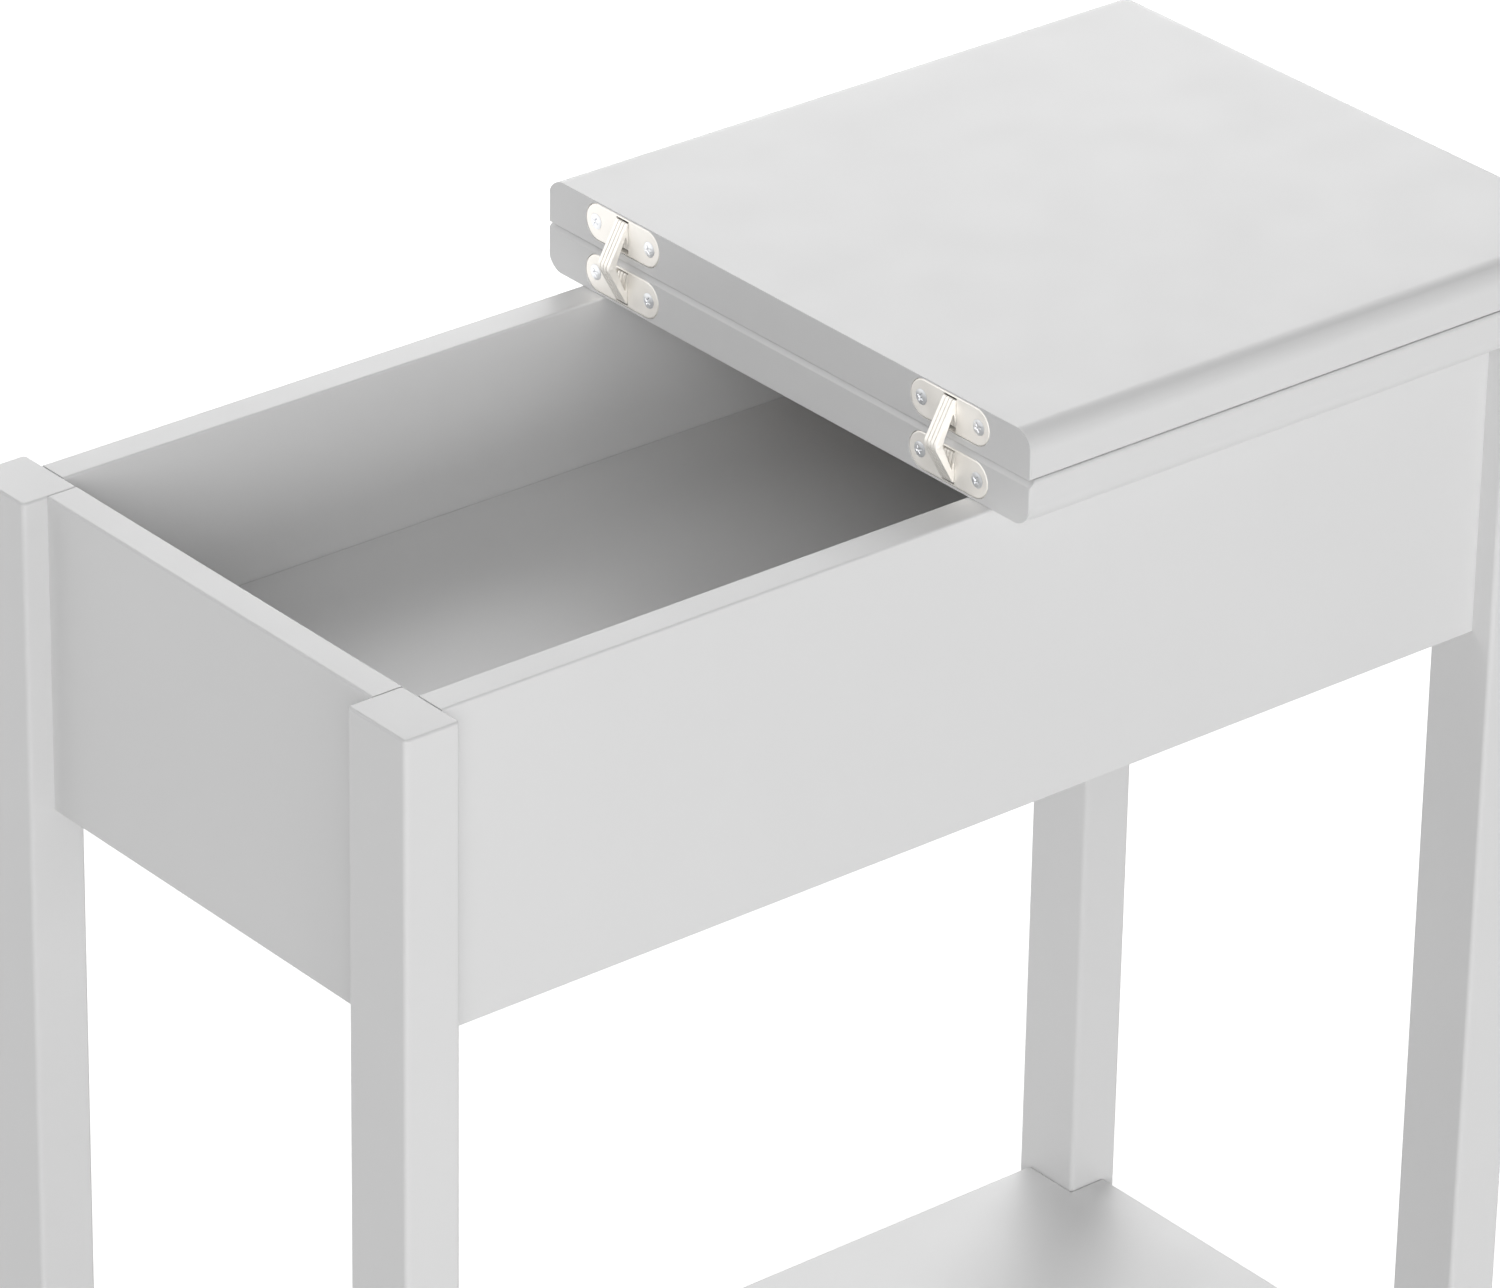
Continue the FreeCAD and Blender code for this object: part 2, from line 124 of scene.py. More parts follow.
def settle(piece, angle=40):
    """Object mode with no crushed faces, all faces outward, flat broad faces and smooth rounded edges."""
    crushed = 0.000002
    bpy.ops.object.mode_set(mode="EDIT")
    bpy.ops.mesh.select_all(action="SELECT")
    bpy.ops.mesh.remove_doubles(threshold=crushed)
    bpy.ops.mesh.dissolve_degenerate(threshold=crushed)
    bpy.ops.mesh.select_all(action="SELECT")
    bpy.ops.mesh.normals_make_consistent(inside=False)
    bpy.ops.object.mode_set(mode="OBJECT")
    bpy.ops.object.select_all(action="DESELECT")
    piece.select_set(True)
    bpy.context.view_layer.objects.active = piece
    bpy.ops.object.shade_smooth_by_angle(angle=math.radians(angle))
    bpy.ops.object.modifier_add(type="WEIGHTED_NORMAL")
    piece.modifiers[-1].keep_sharp = True
    bpy.ops.object.modifier_apply(modifier=piece.modifiers[-1].name)


def copy_moved(piece, name, move):
    """Copy with its own mesh, moved or turned there."""
    twin = piece.copy()
    twin.data = piece.data.copy()
    twin.data.transform(move)
    twin.name = name
    bpy.context.scene.collection.objects.link(twin)
    return twin


def fit(piece, body, finish, slot, *nodes):
    """Gives a piece its finish and its place on the table."""
    piece.data.materials.clear()
    piece.data.materials.append(finish)
    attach(piece, body)
    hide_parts(*nodes)


# Satin lacquer on fibreboard: an even, slightly cool white film from a spray gun.
# The eye sees broad soft sheen, a faint cloud from one pass to the next and a fine orange-peel skin.
lacquer, tree, out, place = new_material("white_satin_lacquer")
spray_pass = add_node(tree, "ShaderNodeTexNoise", {"Vector": place, "Scale": 1 / 0.16, "Detail": 2.0})
film = add_node(tree, "ShaderNodeMix", {"Factor": spray_pass.outputs["Fac"]}, data_type="RGBA")
film.inputs["A"].default_value = linear("#E0E0E0")
film.inputs["B"].default_value = linear("#E6E6E6")
sheen_cloud = add_node(tree, "ShaderNodeTexNoise", {"Vector": place, "Scale": 1 / 0.03, "Detail": 3.0})
sheen = add_node(tree, "ShaderNodeMapRange", {
    "Value": sheen_cloud.outputs["Fac"], "To Min": 0.36, "To Max": 0.46})
# The peel's dimples are about 1 mm wide, and are drawn at 2.5 mm so that they show.
peel = add_node(tree, "ShaderNodeTexNoise", {"Vector": place, "Scale": 1 / 0.0025, "Detail": 1.0})
skin = add_node(tree, "ShaderNodeBump", {
    "Height": peel.outputs["Fac"], "Strength": 0.25, "Distance": 0.00004})
coat = add_node(tree, "ShaderNodeBsdfPrincipled", {
    "Base Color": film.outputs["Result"], "Roughness": sheen.outputs["Result"], "IOR": 1.5,
    "Normal": skin.outputs["Normal"]})
tree.links.new(coat.outputs["BSDF"], out.inputs["Surface"])

low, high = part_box(leg_nodes[0])
leg = board_between("lacquered_" + leg_nodes[0], low, high)
pick(leg, "EDGE", lambda ends: runs_along(ends, 2))
ease(leg_upright_easing, 4)
pick(leg, "EDGE", lambda ends: same([p.z for p in ends], high.z))
ease(leg_top_easing, 3)
pick(leg, "EDGE", lambda ends: same([p.z for p in ends], low.z))
ease(leg_top_easing, 2)
settle(leg)
for node in leg_nodes[1:]:
    other = copy_moved(leg, "lacquered_" + node, Matrix.Translation(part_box(node)[0] - low))
    fit(other, "table", lacquer, "painted_board", node)
fit(leg, "table", lacquer, "painted_board", leg_nodes[0])


# Glides: a low plastic button under each leg, moulded round a nail that is driven into the end grain.
# The rim is rounded so that the table slides.
glide_radius = 0.009
glide_rim = 0.0012

# Moulded nylon: milky off-white, half glossy, with a faintly pebbled skin from the mould.
nylon, tree, out, place = new_material("moulded_nylon")
cloud = add_node(tree, "ShaderNodeTexNoise", {"Vector": place, "Scale": 1 / 0.006, "Detail": 2.0})
milk = add_node(tree, "ShaderNodeMix", {"Factor": cloud.outputs["Fac"]}, data_type="RGBA")
milk.inputs["A"].default_value = linear("#D3D2CC")
milk.inputs["B"].default_value = linear("#DDDCD7")
pebble = add_node(tree, "ShaderNodeTexNoise", {"Vector": place, "Scale": 1 / 0.0008, "Detail": 1.0})
grip = add_node(tree, "ShaderNodeBump", {
    "Height": pebble.outputs["Fac"], "Strength": 0.3, "Distance": 0.00004})
shell = add_node(tree, "ShaderNodeBsdfPrincipled", {
    "Base Color": milk.outputs["Result"], "Roughness": 0.4, "IOR": 1.53, "Normal": grip.outputs["Normal"]})
tree.links.new(shell.outputs["BSDF"], out.inputs["Surface"])


def joined(pieces, name):
    """Several loose shapes kept as one piece."""
    bpy.ops.object.select_all(action="DESELECT")
    for piece in pieces:
        piece.select_set(True)
    bpy.context.view_layer.objects.active = pieces[0]
    bpy.ops.object.join()
    pieces[0].name = name
    return pieces[0]


feet = []
for node in leg_nodes:
    low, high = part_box(node)
    feet.append(Vector(((low.x + high.x) / 2, (low.y + high.y) / 2, low.z / 2)))
bpy.ops.object.select_all(action="DESELECT")
bpy.ops.mesh.primitive_cylinder_add(vertices=40, radius=glide_radius, depth=2 * feet[0].z, location=feet[0])
glide = bpy.context.object
bpy.ops.object.transform_apply(location=True, rotation=True, scale=True)
pick(glide, "EDGE", lambda ends: same([p.z for p in ends], 0))
ease(glide_rim, 3)
settle(glide)
glides = [glide]
for foot in feet[1:]:
    glides.append(copy_moved(glide, "glide", Matrix.Translation(foot - feet[0])))
fit(joined(glides, "moulded_glides"), "table", nylon, "glide_plastic", "foot_glides")


# Box panels: four boards that stand between the legs and make the storage box.
# Their upper edges are eased and lacquered like the legs, and dowels hold their ends.
panel_easing = 0.001
panel_lower_easing = 0.0006

for node in ("front_panel", "back_panel", "left_end_panel", "right_end_panel"):
    low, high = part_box(node)
    along = 0 if high.x - low.x > high.y - low.y else 1
    panel = board_between("lacquered_" + node, low, high)
    for level, easing, steps in ((high.z, panel_easing, 3), (low.z, panel_lower_easing, 2)):
        pick(panel, "EDGE", lambda ends: same([p.z for p in ends], level) and runs_along(ends, along))
        ease(easing, steps)
    settle(panel)
    fit(panel, "table", lacquer, "painted_board", node)


# Dowels and cleats: turned beech pins glued into the joints, and two square beech bars under the fixed leaf.
# They are left bare, because the table hides them.

# Planed beech: pale pinkish tan with straight fine grain and short darker flecks.
beech, tree, out, place = new_material("planed_beech")
run = add_node(tree, "ShaderNodeMapping", {"Vector": place, "Scale": (1 / 0.03, 1 / 0.0022, 1 / 0.0022)})
grain = add_node(tree, "ShaderNodeTexNoise", {"Vector": run.outputs["Vector"], "Scale": 1.0, "Detail": 4.0})
timber = add_node(tree, "ShaderNodeMix", {"Factor": grain.outputs["Fac"]}, data_type="RGBA")
timber.inputs["A"].default_value = linear("#C39A6E")
timber.inputs["B"].default_value = linear("#DDBB93")
pores = add_node(tree, "ShaderNodeBump", {
    "Height": grain.outputs["Fac"], "Strength": 0.3, "Distance": 0.0001})
wood = add_node(tree, "ShaderNodeBsdfPrincipled", {
    "Base Color": timber.outputs["Result"], "Roughness": 0.62, "IOR": 1.5, "Normal": pores.outputs["Normal"]})
tree.links.new(wood.outputs["BSDF"], out.inputs["Surface"])


def finish_solid(node, finish):
    """Gives its finish to a solid that is seen as it comes from the frame."""
    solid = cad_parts[node]
    solid.data.materials.clear()
    solid.data.materials.append(finish)


for node in ("panel_dowels", "shelf_dowels", "front_cleat", "back_cleat"):
    finish_solid(node, beech)


# Box floor: a thin board slid into the panels' grooves before the box is glued up.
# It is lacquered on its upper face like the panels.
finish_solid("box_floor", lacquer)


# Lower shelf: one board notched round the four legs near the floor.
# Its edges are eased, and dowels hold it to the legs.
shelf_easing = 0.0012
shelf_sharp_angle = 50
notch_fit = 0.0001


def carve(piece, tool, operation="DIFFERENCE"):
    """Cuts a second solid out of a piece, joins it on or keeps what both share, and clears it away."""
    bpy.ops.object.select_all(action="DESELECT")
    piece.select_set(True)
    bpy.context.view_layer.objects.active = piece
    bpy.ops.object.modifier_add(type="BOOLEAN")
    cutting = piece.modifiers[-1]
    cutting.operation = operation
    cutting.solver = "EXACT"
    cutting.object = tool
    bpy.ops.object.modifier_apply(modifier=cutting.name)
    bpy.data.objects.remove(tool)


low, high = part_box("lower_shelf")
shelf = board_between("lacquered_lower_shelf", low, high)
for node in leg_nodes:
    leg_low, leg_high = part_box(node)
    room = Vector((notch_fit, notch_fit, 0))
    carve(shelf, board_between("notch", leg_low - room, leg_high + room))
bpy.ops.object.modifier_add(type="BEVEL")
rounding = shelf.modifiers[-1]
rounding.width = shelf_easing
rounding.segments = 3
rounding.limit_method = "ANGLE"
rounding.angle_limit = math.radians(shelf_sharp_angle)
bpy.ops.object.modifier_apply(modifier=rounding.name)
settle(shelf)
fit(shelf, "table", lacquer, "painted_board", "lower_shelf")


# Top leaves: two equal boards that meet at the middle of the table. The right one is screwed down.
# The left one turns over and here lies face down on it. Each has a routed roundover under its outer edges,
# and the right one has a narrow chamfer along its hinge edge.
leaf_roundover = 0.009
leaf_upper_easing = 0.0015
leaf_chamfer = 0.0026
leaf_hinge_break = 0.0004
leaf_corner = 0.003
leaf_hinge_corner = 0.0012
plate_fit = 0.00015

# Hinge sizes that both the leaves' recesses and the plates share, from the line where the leaves meet.
leaf_edge = 0.0008
plate_near = 0.0031
plate_height = 0.0155
plate_length = 0.045
plate_thickness = 0.0016
plate_level = -plate_near - plate_height / 2
block_half = 0.0057
block_end = 0.0227
hinge_line = Vector((
    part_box("fixed_leaf")[0].x - leaf_edge, 0, (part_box("fixed_leaf")[1].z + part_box("flip_leaf")[0].z) / 2))
hinge_places = {}
for side in ("front", "back"):
    low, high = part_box(side + "_hinge_fixed_plate")
    hinge_places[side] = (low.y + high.y) / 2

# How far the cutting shapes reach past what they cut.
leaf_overrun = 0.004
former_overrun = 0.01
former_skin = 0.00002
recess_start = -0.002


def round_ended(name, x0, x1, grow):
    """Round-ended plate below the hinge line, with its flat faces at two distances along the table."""
    bpy.ops.object.select_all(action="DESELECT")
    bpy.ops.mesh.primitive_circle_add(vertices=70, radius=plate_height / 2 + grow, fill_type="NGON",
                                      location=(x0, 0, plate_level), rotation=(0, math.pi / 2, 0))
    plate = bpy.context.object
    plate.name = name
    bpy.ops.object.transform_apply(location=True, rotation=True, scale=True)
    for side in (-1, 1):
        pick(plate, "VERT", lambda points: points[0].y * side > 0)
        bpy.ops.transform.translate(value=(0, side * (plate_length - plate_height) / 2, 0))
    bpy.ops.mesh.select_mode(type="FACE")
    bpy.ops.mesh.select_all(action="SELECT")
    bpy.ops.mesh.extrude_region_move(TRANSFORM_OT_translate={"value": (x1 - x0, 0, 0)})
    bpy.ops.mesh.select_all(action="SELECT")
    bpy.ops.mesh.normals_make_consistent(inside=False)
    bpy.ops.object.mode_set(mode="OBJECT")
    return plate


def hinge_block(name, x0, grow):
    """Block behind the plate that holds the pocket."""
    low = Vector((x0, -block_half - grow, -plate_near - plate_height - grow))
    high = Vector((block_end + grow, block_half + grow, -plate_near + grow))
    return board_between(name, low, high)


def at_hinge(side, flipped):
    """Move from the hinge line to a hinge's place, turned over for the flip leaf."""
    turn = Matrix.Rotation(math.pi, 4, "X") if flipped else Matrix.Identity(4)
    return Matrix.Translation(hinge_line + Vector((0, hinge_places[side], 0))) @ turn


def crosses(ends, x, z):
    """True for an edge that crosses the table at one place along it and one level."""
    return same([p.x for p in ends], x) and same([p.z for p in ends], z)


for node, body, flipped, hinge_edge, hinge_steps in (
        ("fixed_leaf", "table", False, leaf_chamfer, 1),
        ("flip_leaf", "flip_top", True, leaf_hinge_break, 2)):
    low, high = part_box(node)
    under, over = (high.z, low.z) if flipped else (low.z, high.z)
    longer = Vector((leaf_overrun, 0, 0))
    leaf = board_between("lacquered_" + node, low - longer, high)
    for level, easing, steps in ((under, leaf_roundover, 12), (over, leaf_upper_easing, 4)):
        pick(leaf, "EDGE", lambda ends: same([p.z for p in ends], level) and max(p.x for p in ends) > 0)
        ease(easing, steps)
    bpy.ops.object.mode_set(mode="OBJECT")
    # Two slightly larger boards with the wanted roundings trim the leaf's corners and its hinge edge.
    tall = Vector((former_skin, former_skin, former_overrun))
    former = board_between("corner_former", low - tall, high + tall)
    pick(former, "EDGE", lambda ends: runs_along(ends, 2) and ends[0].x > 0)
    ease(leaf_corner, 6)
    pick(former, "EDGE", lambda ends: runs_along(ends, 2) and ends[0].x < 0)
    ease(leaf_hinge_corner, 4)
    bpy.ops.object.mode_set(mode="OBJECT")
    carve(leaf, former, "INTERSECT")
    wide = Vector((0, former_overrun, former_skin))
    former = board_between("hinge_edge_former", low - wide, high + wide + longer)
    lift = -former_skin if flipped else former_skin
    for level, easing, steps in ((over + lift, hinge_edge, hinge_steps), (under - lift, leaf_hinge_break, 2)):
        pick(former, "EDGE", lambda ends: crosses(ends, low.x, level))
        ease(easing, steps)
    bpy.ops.object.mode_set(mode="OBJECT")
    carve(leaf, former, "INTERSECT")
    for side in hinge_places:
        for tool in (round_ended("recess", recess_start, leaf_edge + plate_thickness, plate_fit),
                     hinge_block("recess", recess_start, plate_fit)):
            tool.data.transform(at_hinge(side, flipped))
            carve(leaf, tool)
    settle(leaf)
    fit(leaf, body, lacquer, "painted_board", node)


# Hinge plates: cast zinc plates let into the leaves' edges, tumbled smooth and nickel plated.
# Each has a pocket that takes the strips when the top is closed, and two sunk screws hold it.
plate_rim = 0.0008
plate_easing = 0.0008
pocket_half = 0.0037
pocket_depth = 0.0204
screw_reach = 0.0163
screw_radius = 0.0015
seat_radius = 0.0034
seat_depth = 0.0019
seat_lip = 0.0001

# Satin nickel plate: warm, nearly white metal whose soft pearly sheen drifts over the casting's slight waves.
nickel, tree, out, place = new_material("satin_nickel_plate")
wave = add_node(tree, "ShaderNodeTexNoise", {"Vector": place, "Scale": 1 / 0.009, "Detail": 1.0})
tone = add_node(tree, "ShaderNodeMix", {"Factor": wave.outputs["Fac"]}, data_type="RGBA")
tone.inputs["A"].default_value = linear("#F1EEE9")
tone.inputs["B"].default_value = linear("#F8F6F2")
polish = add_node(tree, "ShaderNodeMapRange", {"Value": wave.outputs["Fac"], "To Min": 0.62, "To Max": 0.74})
ripple = add_node(tree, "ShaderNodeBump", {
    "Height": wave.outputs["Fac"], "Strength": 0.5, "Distance": 0.0003})
metal = add_node(tree, "ShaderNodeBsdfPrincipled", {
    "Base Color": tone.outputs["Result"], "Metallic": 1.0, "Roughness": polish.outputs["Result"],
    "Normal": ripple.outputs["Normal"]})
tree.links.new(metal.outputs["BSDF"], out.inputs["Surface"])

plate = round_ended("hinge_plate", leaf_edge, leaf_edge + plate_thickness, 0)
pick(plate, "EDGE", lambda ends: same([p.x for p in ends], leaf_edge))
ease(plate_easing, 4)
bpy.ops.object.mode_set(mode="OBJECT")
carve(plate, hinge_block("block", leaf_edge + plate_thickness / 2, 0), "UNION")
pocket_low = Vector((recess_start, -pocket_half, -plate_near - plate_height + plate_rim))
pocket_high = Vector((leaf_edge + pocket_depth, pocket_half, -plate_near - plate_rim))
carve(plate, board_between("pocket", pocket_low, pocket_high))
for reach in (-screw_reach, screw_reach):
    bpy.ops.object.select_all(action="DESELECT")
    bpy.ops.mesh.primitive_cone_add(vertices=40, radius1=seat_radius, radius2=screw_radius, depth=seat_depth,
                                    location=(leaf_edge + seat_depth / 2 - seat_lip, reach, plate_level),
                                    rotation=(0, math.pi / 2, 0))
    seat = bpy.context.object
    bpy.ops.object.transform_apply(location=True, rotation=True, scale=True)
    carve(plate, seat)
settle(plate, 35)
for side in hinge_places:
    for kind, body, flipped in (("fixed", "table", False), ("flip", "flip_top", True)):
        node = side + "_hinge_" + kind + "_plate"
        fit(copy_moved(plate, "nickel_" + node, at_hinge(side, flipped)), body, nickel, "hinge_metal", node)
bpy.data.objects.remove(plate)


# Plate screws: countersunk steel screws with a low domed head and a cross recess, bright zinc plated.
# Two go through each plate into the leaf's edge.
screw_length = 0.02
screw_head_radius = 0.0032
screw_head_depth = 0.0015
screw_dome = 0.0006
screw_turn = 1.141
recess_reach = 0.0017
recess_width = 0.0007
recess_depth = 0.0005
recess_overrun = 0.001

# Bright zinc: cool white metal with a fine turned texture on the head.
zinc, tree, out, place = new_material("bright_zinc_plate")
haze = add_node(tree, "ShaderNodeTexNoise", {"Vector": place, "Scale": 1 / 0.0012, "Detail": 2.0})
bright = add_node(tree, "ShaderNodeMix", {"Factor": haze.outputs["Fac"]}, data_type="RGBA")
bright.inputs["A"].default_value = linear("#E9EBEE")
bright.inputs["B"].default_value = linear("#F7F8FA")
shine = add_node(tree, "ShaderNodeMapRange", {"Value": haze.outputs["Fac"], "To Min": 0.34, "To Max": 0.46})
plated = add_node(tree, "ShaderNodeBsdfPrincipled", {
    "Base Color": bright.outputs["Result"], "Metallic": 1.0, "Roughness": shine.outputs["Result"]})
tree.links.new(plated.outputs["BSDF"], out.inputs["Surface"])

shank_middle = leaf_edge + (screw_length + screw_head_depth) / 2
bpy.ops.object.select_all(action="DESELECT")
bpy.ops.mesh.primitive_cylinder_add(vertices=32, radius=screw_radius, depth=screw_length - screw_head_depth,
                                    location=(shank_middle, 0, plate_level), rotation=(0, math.pi / 2, 0))
screw = bpy.context.object
bpy.ops.object.transform_apply(location=True, rotation=True, scale=True)
# The head is drawn out of the shank's end, first to its rim and then up the dome ring by ring.
ball = (screw_head_radius ** 2 + screw_dome ** 2) / (2 * screw_dome)
rings = [(0, screw_head_radius)]
for share in (0.85, 0.65, 0.4, 0.15):
    ring = share * screw_head_radius
    rings.append((math.sqrt(ball ** 2 - ring ** 2) - ball + screw_dome, ring))
pick(screw, "FACE", lambda points: same([p.x for p in points], leaf_edge + screw_head_depth))
reached = screw_head_depth
radius = screw_radius
for rise, ring in rings:
    bpy.ops.mesh.extrude_region_move(TRANSFORM_OT_translate={"value": (-rise - reached, 0, 0)})
    bpy.ops.transform.resize(value=(1, ring / radius, ring / radius),
                             center_override=(leaf_edge, 0, plate_level))
    reached = -rise
    radius = ring
settle(screw, 35)
for turn in (0, math.pi / 2):
    bar = board_between("driver", Vector((-screw_dome - recess_overrun, -recess_reach, -recess_width / 2)),
                        Vector((recess_depth - screw_dome, recess_reach, recess_width / 2)))
    bar.data.transform(Matrix.Translation((leaf_edge, 0, plate_level)) @ Matrix.Rotation(turn, 4, "X"))
    carve(screw, bar)
settle(screw, 35)
for kind, body, flipped in (("fixed", "table", False), ("flip", "flip_top", True)):
    screws = []
    for side in hinge_places:
        for end in (-1, 1):
            spot = at_hinge(side, flipped) @ Matrix.Translation((0, end * screw_reach, plate_level))
            spin = Matrix.Rotation(end * screw_turn, 4, "X") @ Matrix.Translation((0, 0, -plate_level))
            screws.append(copy_moved(screw, "screw", spot @ spin))
    node = kind + "_plate_screws"
    fit(joined(screws, "zinc_" + node), body, zinc, "screw_steel", node)
bpy.data.objects.remove(screw)


# Hinge strips: four V-shaped strips stamped from steel and riveted side by side, nickel plated.
# They turn on the pin in the fixed plate, and their other pin slides in the flip plate.
strip_count = 4
strip_thickness = 0.0016
strip_pitch = 0.0018
strip_easing = 0.00035
strip_corner = 0.0007
strip_lower_half = [
    (-0.0052, 0), (-0.0002, -0.0117), (0.0014, -0.0051), (0.0040, -0.0051), (0.0016, -0.0170),
    (0.0002, -0.0170), (-0.0086, -0.0010)]
strip_corners = strip_lower_half + [(x, -z) for x, z in reversed(strip_lower_half[1:])]

bpy.ops.object.select_all(action="DESELECT")
bpy.ops.mesh.primitive_circle_add(vertices=len(strip_corners), fill_type="NOTHING", location=(0, 0, 0))
strip = bpy.context.object
bpy.ops.object.mode_set(mode="EDIT")
outline = bmesh.from_edit_mesh(strip.data)
outline.verts.ensure_lookup_table()
for vertex, (x, z) in zip(outline.verts, strip_corners):
    vertex.co = (x, 0, z)
bmesh.update_edit_mesh(strip.data)
bpy.ops.mesh.select_all(action="SELECT")
bpy.ops.mesh.edge_face_add()
bpy.ops.mesh.bevel(offset=strip_corner, segments=3, affect="VERTICES")
bpy.ops.mesh.select_all(action="SELECT")
bpy.ops.mesh.extrude_region_move(TRANSFORM_OT_translate={"value": (0, strip_thickness, 0)})
pick(strip, "EDGE", lambda ends: same([p.y for p in ends], ends[0].y))
ease(strip_easing, 2)
settle(strip, 35)
stack_start = -((strip_count - 1) * strip_pitch + strip_thickness) / 2
for side in hinge_places:
    stack = []
    for i in range(strip_count):
        move = at_hinge(side, False) @ Matrix.Translation((0, stack_start + i * strip_pitch, 0))
        stack.append(copy_moved(strip, "strip", move))
    node = side + "_hinge_strips"
    fit(joined(stack, "nickel_" + node), side + "_strips", nickel, "hinge_metal", node)
bpy.data.objects.remove(strip)


# Rivets: one steel rivet through the point of each stack of strips.
# Its ends are set to low domes and plated together with the strips.
rivet_radius = 0.0008
rivet_dome = 0.00012
rivet_place = -0.0069

bpy.ops.object.select_all(action="DESELECT")
bpy.ops.mesh.primitive_cylinder_add(vertices=32, radius=rivet_radius, depth=-2 * stack_start,
                                    location=(rivet_place, 0, 0), rotation=(math.pi / 2, 0, 0))
rivet = bpy.context.object
bpy.ops.object.transform_apply(location=True, rotation=True, scale=True)
for end in (-1, 1):
    pick(rivet, "FACE", lambda points: same([p.y for p in points], -end * stack_start))
    for shrink, rise in ((0.8, 0.5), (0.6, 0.35), (0.4, 0.15)):
        bpy.ops.mesh.extrude_region_move(TRANSFORM_OT_translate={"value": (0, end * rise * rivet_dome, 0)})
        bpy.ops.transform.resize(value=(shrink, 1, shrink), center_override=(rivet_place, 0, 0))
settle(rivet, 35)
for side in hinge_places:
    node = side + "_hinge_rivet"
    placed = copy_moved(rivet, "nickel_" + node, at_hinge(side, False))
    fit(placed, side + "_strips", nickel, "pin_steel", node)
bpy.data.objects.remove(rivet)


# Pins and leaf screws: drawn steel pins that the strips turn and slide on,
# and the screws that go up through the cleats into the fixed leaf.

# Drawn steel: plain grey metal with fine lines along its length.
steel, tree, out, place = new_material("drawn_steel")
draw = add_node(tree, "ShaderNodeMapping", {"Vector": place, "Scale": (1 / 0.0004, 1 / 0.006, 1 / 0.0004)})
lines = add_node(tree, "ShaderNodeTexNoise", {"Vector": draw.outputs["Vector"], "Scale": 1.0, "Detail": 2.0})
grey = add_node(tree, "ShaderNodeMix", {"Factor": lines.outputs["Fac"]}, data_type="RGBA")
grey.inputs["A"].default_value = linear("#B9B9B6")
grey.inputs["B"].default_value = linear("#D2D2CF")
smooth = add_node(tree, "ShaderNodeMapRange", {"Value": lines.outputs["Fac"], "To Min": 0.25, "To Max": 0.4})
bar_metal = add_node(tree, "ShaderNodeBsdfPrincipled", {
    "Base Color": grey.outputs["Result"], "Metallic": 1.0, "Roughness": smooth.outputs["Result"]})
tree.links.new(bar_metal.outputs["BSDF"], out.inputs["Surface"])

for side in hinge_places:
    finish_solid(side + "_hinge_pivot_pin", steel)
    finish_solid(side + "_hinge_guide_pin", steel)
finish_solid("leaf_screws", zinc)


# Room: an even white studio round the table and a plain white floor that takes its shadow.
# Camera and mirror rays meet a full white, and the floor grows to it away from the table.
scene = bpy.context.scene
scene.view_settings.view_transform = "Standard"
world_light = 0.24
floor_size = 14
floor_lift = 0.55
shadow_reach = 1.0
white_reach = 2.5


def background_rays(tree):
    """1 on the rays that show the background: to the camera, in mirrors and through glass."""
    ray = add_node(tree, "ShaderNodeLightPath", {})
    shown = ray.outputs["Is Camera Ray"]
    for kind in ("Is Glossy Ray", "Is Transmission Ray"):
        larger = add_node(tree, "ShaderNodeMath", {0: shown, 1: ray.outputs[kind]}, operation="MAXIMUM")
        shown = larger.outputs[0]
    return shown


world = bpy.data.worlds.new("studio")
scene.world = world
world.use_nodes = True
tree = world.node_tree
tree.nodes.clear()
lit = add_node(tree, "ShaderNodeBackground", {"Color": (1, 1, 1, 1), "Strength": world_light})
white = add_node(tree, "ShaderNodeBackground", {"Color": (1, 1, 1, 1), "Strength": 1.0})
sky = add_node(tree, "ShaderNodeMixShader", {
    0: background_rays(tree), 1: lit.outputs[0], 2: white.outputs[0]})
add_node(tree, "ShaderNodeOutputWorld", {"Surface": sky.outputs[0]})

bpy.ops.object.select_all(action="DESELECT")
bpy.ops.mesh.primitive_plane_add(size=floor_size, location=(0, 0, 0))
floor = bpy.context.object
floor.name = "studio_floor"

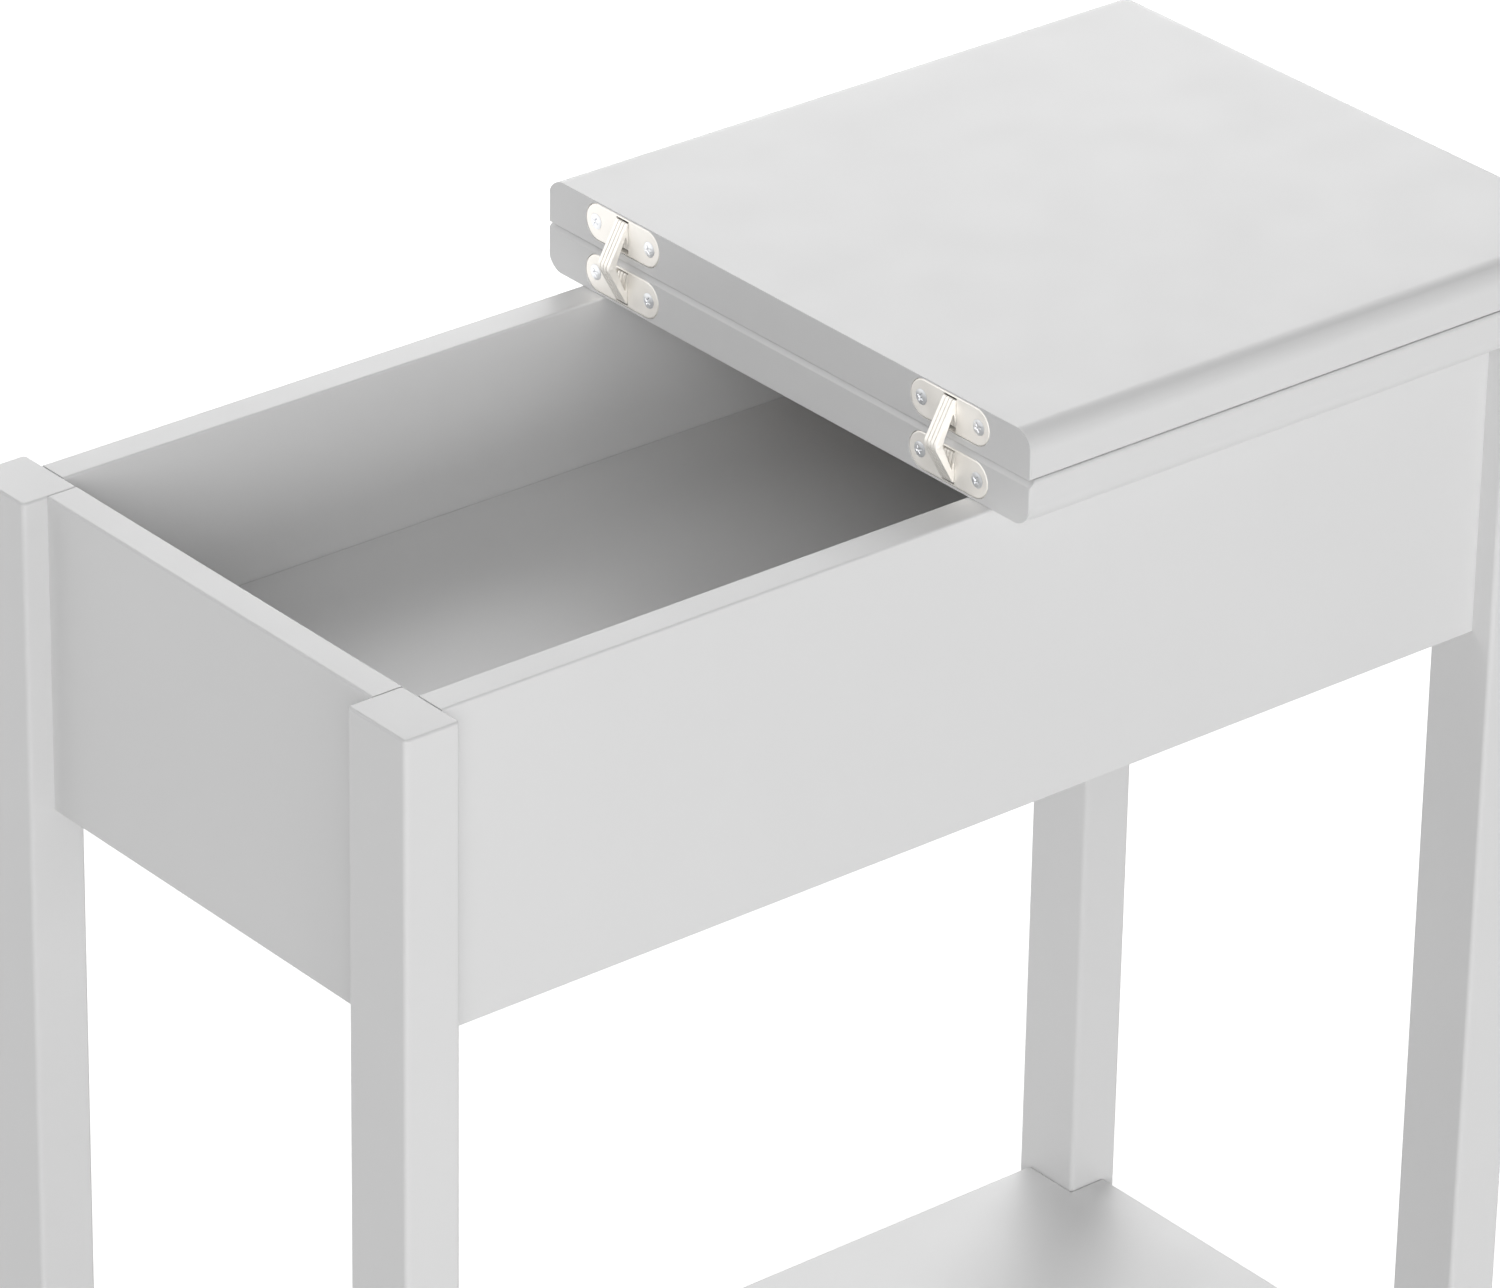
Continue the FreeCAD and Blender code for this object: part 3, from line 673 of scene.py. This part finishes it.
# White paper: a matt sheet that looks a little lifted near the table and pure white further off.
paper, tree, out, place = new_material("white_paper_floor")
matt = add_node(tree, "ShaderNodeBsdfDiffuse", {"Color": linear("#F4F4F4")})
distance = add_node(tree, "ShaderNodeVectorMath", {0: place}, operation="LENGTH")
fade = add_node(tree, "ShaderNodeMapRange", {
    "Value": distance.outputs["Value"], "From Min": shadow_reach, "From Max": white_reach,
    "To Min": floor_lift, "To Max": 1.0})
lift = add_node(tree, "ShaderNodeMath", {
    0: background_rays(tree), 1: fade.outputs["Result"]}, operation="MULTIPLY")
glow = add_node(tree, "ShaderNodeEmission", {"Color": (1, 1, 1, 1), "Strength": lift.outputs[0]})
both = add_node(tree, "ShaderNodeAddShader", {0: matt.outputs[0], 1: glow.outputs[0]})
tree.links.new(both.outputs[0], out.inputs["Surface"])
floor.data.materials.append(paper)


# Lamps: a large soft box behind the table's right end gives the flat tops their sheen, and one behind
# its left end lights the edges that face up. Two further off, a low one in front and one behind the camera,
# fill the faces that are seen.
aim = Vector((0, 0, 0.45))
for name, spot, width, height, power in (
        ("back_soft_box", Vector((1.53, 1.84, 1.71)), 2.0, 2.0, 33.5),
        ("edge_soft_box", Vector((-1.65, 2.35, 2.45)), 2.4, 2.4, 22),
        ("front_soft_box", Vector((-0.6, -6.0, 1.04)), 4.0, 2.0, 114),
        ("camera_soft_box", Vector((-4.4, -5.15, 2.95)), 3.4, 3.4, 136)):
    lamp = bpy.data.objects.new(name, bpy.data.lights.new(name, "AREA"))
    lamp.data.shape = "RECTANGLE"
    lamp.data.size = width
    lamp.data.size_y = height
    lamp.data.energy = power
    lamp.location = spot
    lamp.rotation_euler = (aim - spot).to_track_quat("-Z", "Y").to_euler()
    scene.collection.objects.link(lamp)


# Camera: above the table's left front corner, far off with a long lens, and turned a degree.
camera_place = Vector((-1.9195, -2.2758, 2.0449))
camera_target = Vector((-0.04598, -0.02758, 0.50744))
camera_roll = Quaternion((0, 0, 1), math.radians(1.014))
camera_lens = 209.37
camera_sensor = 36

camera = bpy.data.objects.new("camera", bpy.data.cameras.new("camera"))
camera.location = camera_place
camera.rotation_mode = "QUATERNION"
camera.rotation_quaternion = (camera_target - camera_place).to_track_quat("-Z", "Y") @ camera_roll
camera.data.sensor_fit = "HORIZONTAL"
camera.data.sensor_width = camera_sensor
camera.data.lens = camera_lens
scene.collection.objects.link(camera)
scene.camera = camera
